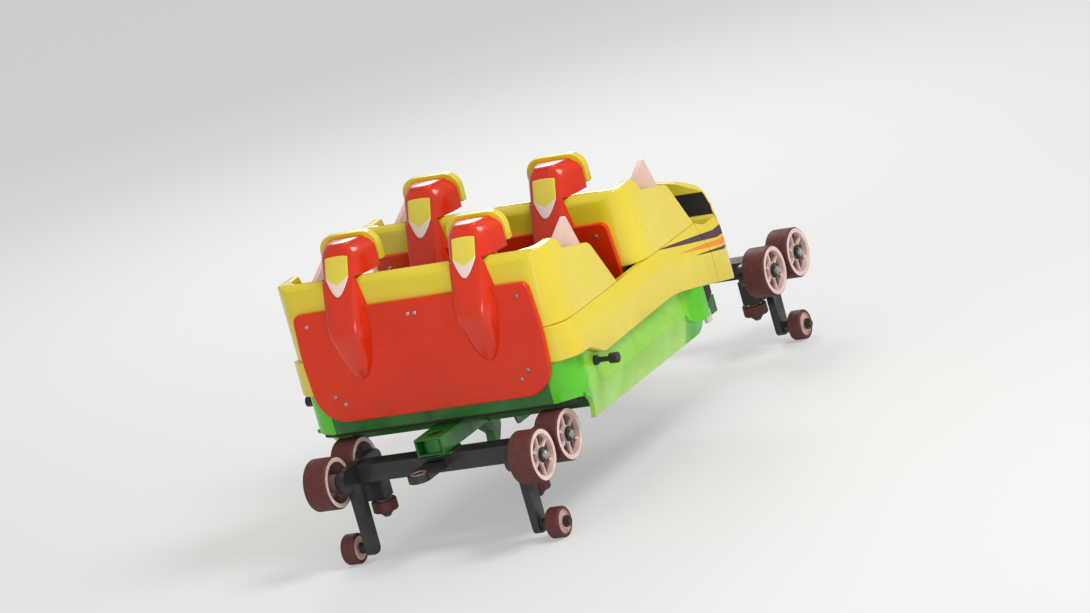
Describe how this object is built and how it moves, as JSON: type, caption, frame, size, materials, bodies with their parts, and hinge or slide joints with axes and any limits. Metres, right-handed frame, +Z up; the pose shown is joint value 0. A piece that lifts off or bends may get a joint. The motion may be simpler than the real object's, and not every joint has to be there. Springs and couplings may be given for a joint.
{
  "type": "roller coaster car",
  "caption": "Open roller coaster car with two rows of paired seats, swinging lap bars and pivoting bogies with road, guide and upstop wheels.",
  "frame": {"origin": "on the floor, midway between the two bogies, in the car's middle plane", "axes": "+X forwards, +Y to the car's left, +Z up"},
  "size_m": [2.6858, 1.3806, 1.2235],
  "materials": {
    "yellow_gelcoat": "glossy moulded shell",
    "red_gelcoat": "glossy moulded shell",
    "green_paint": "glossy paint on sheet steel",
    "frame_paint": "satin paint on steel",
    "pale_paint": "satin paint on steel",
    "badge_paint": "glossy painted plate",
    "running_gear": "satin black paint on forged and welded steel",
    "black_tray": "matt textured tray",
    "black_foam": "skinned foam padding",
    "wheel_tread": "cast polyurethane bonded to an aluminium rim"
  },
  "bodies": {
    "car": {"chassis_frame": "frame_paint", "skirt_left": "green_paint", "skirt_right": "green_paint", "rear_valance": "frame_paint", "floor_pan": "black_tray", "tub_left": "yellow_gelcoat", "tub_right": "yellow_gelcoat", "nose_shell": "yellow_gelcoat", "side_brackets": "running_gear", "rear_pod": "yellow_gelcoat", "front_pod": "yellow_gelcoat", "rear_back_panel": "red_gelcoat", "front_back_panel": "red_gelcoat", "rear_seat_base": "black_tray", "front_seat_base": "black_tray", "rear_headrest_caps": "yellow_gelcoat", "front_headrest_caps": "yellow_gelcoat", "rear_badge_plates": "badge_paint", "front_badge_plates": "badge_paint", "rear_left_seat_shell": "red_gelcoat", "rear_right_seat_shell": "red_gelcoat", "front_left_seat_shell": "red_gelcoat", "front_right_seat_shell": "red_gelcoat", "rear_left_seat_pad": "black_foam", "rear_right_seat_pad": "black_foam", "front_left_seat_pad": "black_foam", "front_right_seat_pad": "black_foam"},
    "rear restraint": {"rear_lap_bar": "pale_paint", "rear_lap_roll": "black_foam"},
    "front restraint": {"front_lap_bar": "pale_paint", "front_lap_roll": "black_foam"},
    "rear bogie": {"rear_bogie_beam": "running_gear", "rear_bogie_carriers": "running_gear"},
    "front bogie": {"front_bogie_beam": "running_gear", "front_bogie_carriers": "running_gear"},
    "rear left trailing road wheel": {"rear_left_trailing_road_wheel": "wheel_tread"},
    "rear left leading road wheel": {"rear_left_leading_road_wheel": "wheel_tread"},
    "rear left guide wheel": {"rear_left_guide_wheel": "wheel_tread"},
    "rear left upstop wheel": {"rear_left_upstop_wheel": "wheel_tread"},
    "rear right trailing road wheel": {"rear_right_trailing_road_wheel": "wheel_tread"},
    "rear right leading road wheel": {"rear_right_leading_road_wheel": "wheel_tread"},
    "rear right guide wheel": {"rear_right_guide_wheel": "wheel_tread"},
    "rear right upstop wheel": {"rear_right_upstop_wheel": "wheel_tread"},
    "front left trailing road wheel": {"front_left_trailing_road_wheel": "wheel_tread"},
    "front left leading road wheel": {"front_left_leading_road_wheel": "wheel_tread"},
    "front left guide wheel": {"front_left_guide_wheel": "wheel_tread"},
    "front left upstop wheel": {"front_left_upstop_wheel": "wheel_tread"},
    "front right trailing road wheel": {"front_right_trailing_road_wheel": "wheel_tread"},
    "front right leading road wheel": {"front_right_leading_road_wheel": "wheel_tread"},
    "front right guide wheel": {"front_right_guide_wheel": "wheel_tread"},
    "front right upstop wheel": {"front_right_upstop_wheel": "wheel_tread"}
  },
  "joints": [
    {"name": "rear_lap_bar_swing", "type": "hinge", "parent": "car", "child": "rear restraint", "pos_m": [-0.665, 0, 0.9715], "axis": [0, -1, 0], "range_deg": [0, 70]},
    {"name": "front_lap_bar_swing", "type": "hinge", "parent": "car", "child": "front restraint", "pos_m": [0.055, 0, 0.9715], "axis": [0, -1, 0], "range_deg": [0, 70]},
    {"name": "rear_bogie_steer", "type": "hinge", "parent": "car", "child": "rear bogie", "pos_m": [-1.1, 0, 0.3465], "axis": [0, 0, 1], "range_deg": [-8, 8]},
    {"name": "front_bogie_steer", "type": "hinge", "parent": "car", "child": "front bogie", "pos_m": [1.1, 0, 0.3465], "axis": [0, 0, 1], "range_deg": [-8, 8]},
    {"name": "rear_left_trailing_road_wheel_turn", "type": "hinge", "parent": "rear bogie", "child": "rear left trailing road wheel", "pos_m": [-1.2175, 0.45, 0.3465], "axis": [0, 1, 0], "continuous": true},
    {"name": "rear_left_leading_road_wheel_turn", "type": "hinge", "parent": "rear bogie", "child": "rear left leading road wheel", "pos_m": [-0.9825, 0.45, 0.3465], "axis": [0, 1, 0], "continuous": true},
    {"name": "rear_left_guide_wheel_turn", "type": "hinge", "parent": "rear bogie", "child": "rear left guide wheel", "pos_m": [-1.04, 0.336, 0.184], "axis": [0, 0, 1], "continuous": true},
    {"name": "rear_left_upstop_wheel_turn", "type": "hinge", "parent": "rear bogie", "child": "rear left upstop wheel", "pos_m": [-1.16, 0.45, 0.06], "axis": [0, 1, 0], "continuous": true},
    {"name": "rear_right_trailing_road_wheel_turn", "type": "hinge", "parent": "rear bogie", "child": "rear right trailing road wheel", "pos_m": [-1.2175, -0.45, 0.3465], "axis": [0, 1, 0], "continuous": true},
    {"name": "rear_right_leading_road_wheel_turn", "type": "hinge", "parent": "rear bogie", "child": "rear right leading road wheel", "pos_m": [-0.9825, -0.45, 0.3465], "axis": [0, 1, 0], "continuous": true},
    {"name": "rear_right_guide_wheel_turn", "type": "hinge", "parent": "rear bogie", "child": "rear right guide wheel", "pos_m": [-1.04, -0.336, 0.184], "axis": [0, 0, 1], "continuous": true},
    {"name": "rear_right_upstop_wheel_turn", "type": "hinge", "parent": "rear bogie", "child": "rear right upstop wheel", "pos_m": [-1.16, -0.45, 0.06], "axis": [0, 1, 0], "continuous": true},
    {"name": "front_left_trailing_road_wheel_turn", "type": "hinge", "parent": "front bogie", "child": "front left trailing road wheel", "pos_m": [0.9825, 0.45, 0.3465], "axis": [0, 1, 0], "continuous": true},
    {"name": "front_left_leading_road_wheel_turn", "type": "hinge", "parent": "front bogie", "child": "front left leading road wheel", "pos_m": [1.2175, 0.45, 0.3465], "axis": [0, 1, 0], "continuous": true},
    {"name": "front_left_guide_wheel_turn", "type": "hinge", "parent": "front bogie", "child": "front left guide wheel", "pos_m": [1.04, 0.336, 0.184], "axis": [0, 0, 1], "continuous": true},
    {"name": "front_left_upstop_wheel_turn", "type": "hinge", "parent": "front bogie", "child": "front left upstop wheel", "pos_m": [1.16, 0.45, 0.06], "axis": [0, 1, 0], "continuous": true},
    {"name": "front_right_trailing_road_wheel_turn", "type": "hinge", "parent": "front bogie", "child": "front right trailing road wheel", "pos_m": [0.9825, -0.45, 0.3465], "axis": [0, 1, 0], "continuous": true},
    {"name": "front_right_leading_road_wheel_turn", "type": "hinge", "parent": "front bogie", "child": "front right leading road wheel", "pos_m": [1.2175, -0.45, 0.3465], "axis": [0, 1, 0], "continuous": true},
    {"name": "front_right_guide_wheel_turn", "type": "hinge", "parent": "front bogie", "child": "front right guide wheel", "pos_m": [1.04, -0.336, 0.184], "axis": [0, 0, 1], "continuous": true},
    {"name": "front_right_upstop_wheel_turn", "type": "hinge", "parent": "front bogie", "child": "front right upstop wheel", "pos_m": [1.16, -0.45, 0.06], "axis": [0, 1, 0], "continuous": true}
  ]
}
